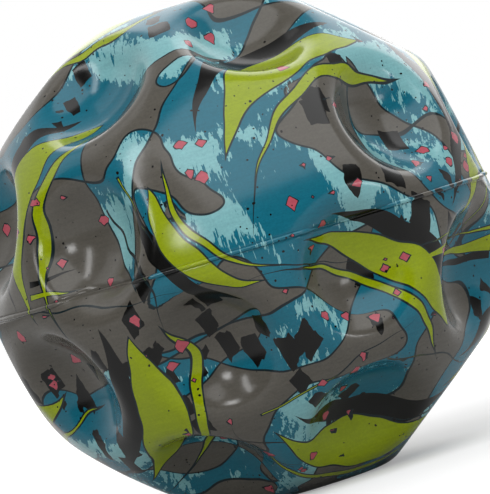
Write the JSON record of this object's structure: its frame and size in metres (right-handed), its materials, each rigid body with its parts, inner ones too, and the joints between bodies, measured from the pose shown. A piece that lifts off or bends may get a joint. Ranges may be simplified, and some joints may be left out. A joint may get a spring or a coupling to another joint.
{
  "type": "crater bounce ball",
  "caption": "High-bounce toy ball with round craters all over it, a springy foam core in two printed film skins and a raised seam bead",
  "frame": {"origin": "the centre of the ball, on the plane of the seam", "axes": "+Z is the axis of the mould, square to the seam; -Y is the front, with the plain pad just right of it and above the seam; +X is to the right of that front"},
  "size_m": [0.0648, 0.0654, 0.062],
  "materials": {
    "foam": "matte, fine closed cells",
    "upper_film": "satin printed film in grey, teal, pale teal, lime, pink and black",
    "lower_film": "satin printed film in grey, teal, pale teal, lime, pink and black",
    "bead": "satin, slightly uneven flash line"
  },
  "bodies": {
    "root": {"foam_core": "foam", "upper_skin": "upper_film", "lower_skin": "lower_film", "seam_bead": "bead"}
  },
  "joints": []
}
